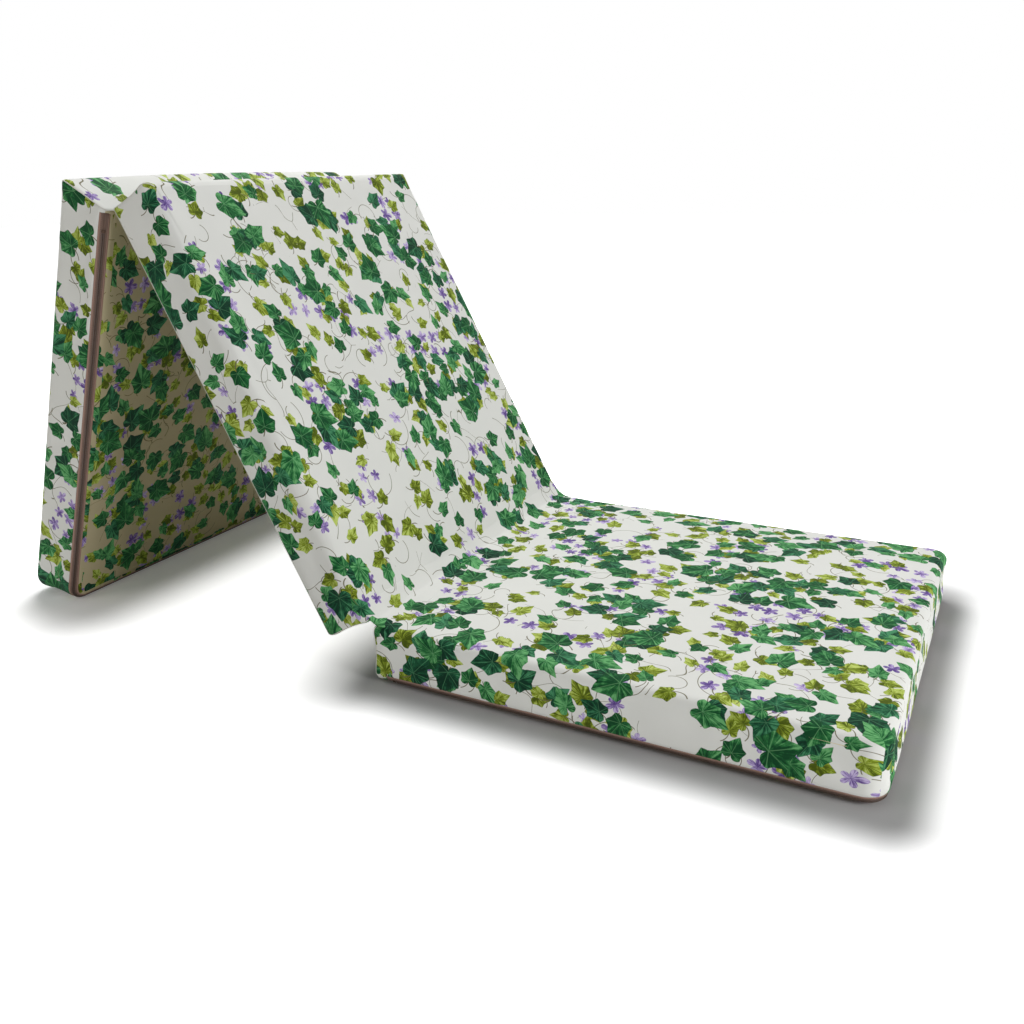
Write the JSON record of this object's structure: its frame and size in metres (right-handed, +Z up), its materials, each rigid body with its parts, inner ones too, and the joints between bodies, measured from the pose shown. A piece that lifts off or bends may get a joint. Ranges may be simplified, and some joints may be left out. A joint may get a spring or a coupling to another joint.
{
  "type": "folding mattress",
  "caption": "Three-fold foam mattress in zipped printed cotton covers, standing half folded: one section flat, one leaning on it and one as a leg.",
  "frame": {"origin": "bottom centre of the whole half-folded mattress's box, on the floor", "axes": "+X along the mattress from the standing head section towards the flat foot section, +Y across its width towards the side with the zip sliders, +Z up"},
  "size_m": [1.285, 0.6262, 0.6337],
  "materials": {
    "printed_cotton": "matte printed cotton with a leaf and blossom print",
    "printed_cotton_base": "matte printed cotton with a leaf and blossom print",
    "cream_foam": "open-cell foam",
    "brown_zip_tape": "woven tape",
    "brown_zip_coil": "satin",
    "bronzed_slider": "bronzed",
    "bronzed_stop": "bronzed",
    "printed_cotton_fold": "matte printed cotton",
    "white_seam": "stitched edge"
  },
  "bodies": {
    "foot_section": {"foot_foam_core": "cream_foam", "foot_cover": "printed_cotton", "foot_base_panel": "printed_cotton_base", "foot_zip_tape_upper": "brown_zip_tape", "foot_zip_tape_lower": "brown_zip_tape", "foot_zip_coil_upper": "brown_zip_coil", "foot_zip_coil_lower": "brown_zip_coil", "foot_zip_stop_closed": "bronzed_stop", "foot_zip_stop_open": "bronzed_stop", "foot_fold_flap": "printed_cotton_fold", "middle_foot_fold_seam": "white_seam"},
    "middle_section": {"middle_foam_core": "cream_foam", "middle_cover": "printed_cotton", "middle_base_panel": "printed_cotton_base", "middle_zip_tape_upper": "brown_zip_tape", "middle_zip_tape_lower": "brown_zip_tape", "middle_zip_coil_upper": "brown_zip_coil", "middle_zip_coil_lower": "brown_zip_coil", "middle_zip_stop_closed": "bronzed_stop", "middle_zip_stop_open": "bronzed_stop", "middle_lower_fold_flap": "printed_cotton_fold", "middle_upper_fold_flap": "printed_cotton_fold", "head_middle_fold_seam": "white_seam"},
    "head_section": {"head_foam_core": "cream_foam", "head_cover": "printed_cotton", "head_base_panel": "printed_cotton_base", "head_zip_tape_upper": "brown_zip_tape", "head_zip_tape_lower": "brown_zip_tape", "head_zip_coil_upper": "brown_zip_coil", "head_zip_coil_lower": "brown_zip_coil", "head_zip_stop_closed": "bronzed_stop", "head_zip_stop_open": "bronzed_stop", "head_fold_flap": "printed_cotton_fold"},
    "foot_slider": {"foot_zip_slider": "bronzed_slider"},
    "foot_pull": {"foot_zip_pull": "bronzed_slider"},
    "middle_slider": {"middle_zip_slider": "bronzed_slider"},
    "middle_pull": {"middle_zip_pull": "bronzed_slider"},
    "head_slider": {"head_zip_slider": "bronzed_slider"},
    "head_pull": {"head_zip_pull": "bronzed_slider"}
  },
  "joints": [
    {"name": "middle_foot_fold", "type": "hinge", "parent": "foot_section", "child": "middle_section", "pos_m": [0.00802, -0.00311, 0.0839], "axis": [0, 1, 0], "range_deg": [-61.2, 118.8]},
    {"name": "head_middle_fold", "type": "hinge", "parent": "middle_section", "child": "head_section", "pos_m": [-0.37361, -0.00311, 0.59987], "axis": [0, 1, 0], "range_deg": [-46.6, 133.37]},
    {"name": "foot_zip_slide", "type": "slide", "parent": "foot_section", "child": "foot_slider", "axis": [1, 0, 0], "range_m": [0, 0.56]},
    {"name": "middle_zip_slide", "type": "slide", "parent": "middle_section", "child": "middle_slider", "axis": [0.4818, 0, -0.8763], "range_m": [0, 0.461]},
    {"name": "head_zip_slide", "type": "slide", "parent": "head_section", "child": "head_slider", "axis": [-0.3062, 0, -0.952], "range_m": [0, 0.56]},
    {"name": "foot_pull_hinge", "type": "hinge", "parent": "foot_slider", "child": "foot_pull", "pos_m": [0.04702, 0.30606, 0.00327], "axis": [0, -0.6428, -0.766], "range_deg": [-146.7, 3.2]},
    {"name": "middle_pull_hinge", "type": "hinge", "parent": "middle_slider", "child": "middle_pull", "pos_m": [-0.32664, 0.30606, 0.52527], "axis": [-0.6713, -0.6428, -0.369], "range_deg": [-130.5, 19.4]},
    {"name": "head_pull_hinge", "type": "hinge", "parent": "head_slider", "child": "head_pull", "pos_m": [-0.39052, 0.30606, 0.56434], "axis": [-0.7293, 0.6428, 0.2345], "range_deg": [-138.3, 11.6]}
  ]
}
